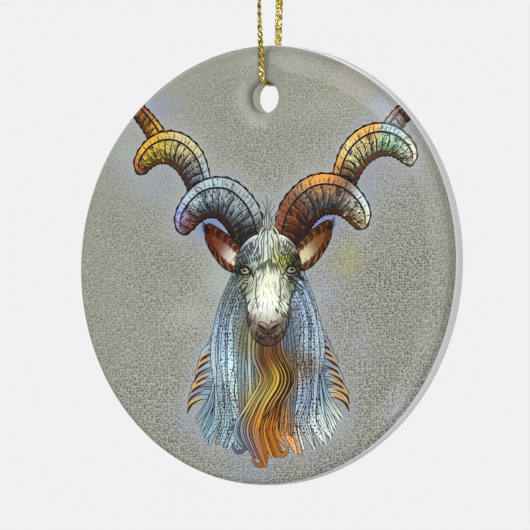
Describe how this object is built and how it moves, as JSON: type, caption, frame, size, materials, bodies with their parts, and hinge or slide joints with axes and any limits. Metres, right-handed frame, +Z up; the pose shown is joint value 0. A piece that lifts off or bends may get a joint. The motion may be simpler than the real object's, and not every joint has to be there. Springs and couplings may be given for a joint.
{
  "type": "round hanging ornament",
  "caption": "Round flat glazed porcelain disc with a rounded printed face, hung from a small rim hole on a knotted loop of thin gold metallic cord.",
  "frame": {"origin": "the hang point: the top of the hook or twig that the loop hangs on, close under the knot", "axes": "+Z up along the loop, -Y out of the printed face, +X to the right when facing the print"},
  "size_m": [0.073, 0.0116, 0.1363],
  "materials": {
    "white_glaze": "glossy white glaze",
    "printed_glaze": "full-face print under a clear glossy coat",
    "gold_cord": "braided metallic gold yarn"
  },
  "bodies": {
    "loop_top": {"loop_knot": "gold_cord", "loop_tail_left": "gold_cord", "loop_tail_right": "gold_cord", "loop_front_strand": "gold_cord", "loop_back_strand": "gold_cord"},
    "loop_bottom": {"loop_bight": "gold_cord", "loop_front_leg": "gold_cord", "loop_back_leg": "gold_cord"},
    "disc": {"porcelain_disc": "white_glaze", "print_coat": "printed_glaze"}
  },
  "joints": [
    {"name": "loop_twist", "type": "hinge", "parent": "loop_top", "child": "loop_bottom", "pos_m": [0, 0, -0.0375], "axis": [0, 0, 1], "range_deg": [-180, 180], "stiffness_Nm_per_rad": 0.0001},
    {"name": "disc_rock", "type": "hinge", "parent": "loop_bottom", "child": "disc", "pos_m": [0, 0, -0.06195], "axis": [0, 1, 0], "range_deg": [-90, 90]}
  ]
}
